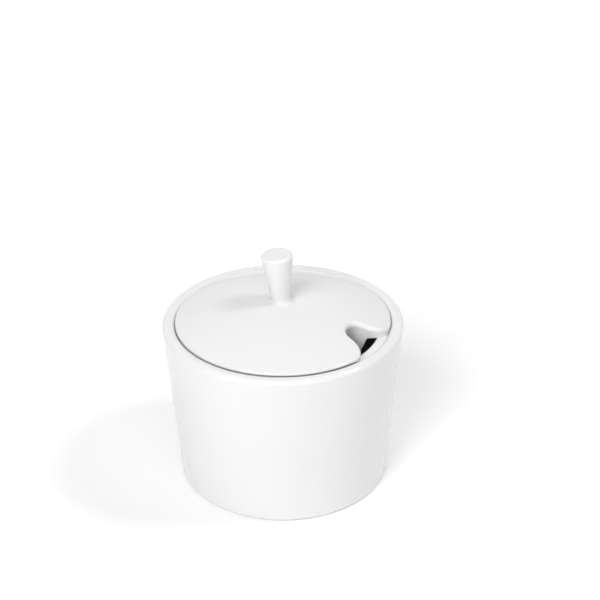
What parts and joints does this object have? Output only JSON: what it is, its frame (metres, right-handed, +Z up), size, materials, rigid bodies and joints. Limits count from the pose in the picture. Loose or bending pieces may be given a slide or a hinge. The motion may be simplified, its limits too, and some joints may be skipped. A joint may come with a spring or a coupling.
{
  "type": "jam pot",
  "caption": "Tapered white glazed pot with a sunk lid seat, and a shallow domed lid with a locating flange, a spoon notch and a flared peg knob, for serving jam or sugar.",
  "frame": {"origin": "on the table, under the middle of the pot", "axes": "+Z up along the pot's axis; -Y towards the viewer of the picture and +X to the viewer's right"},
  "size_m": [0.0947, 0.0946, 0.0966],
  "materials": {
    "pot_glaze": "white gloss glaze, bare foot ring",
    "lid_glaze": "white gloss glaze"
  },
  "bodies": {
    "pot_body": {"pot": "pot_glaze"},
    "lid_body": {"lid": "lid_glaze", "lid_knob": "lid_glaze"}
  },
  "joints": [
    {"name": "lid_lift", "type": "slide", "parent": "pot_body", "child": "lid_body", "axis": [0, 0, 1], "range_m": [0, 0.06]}
  ]
}
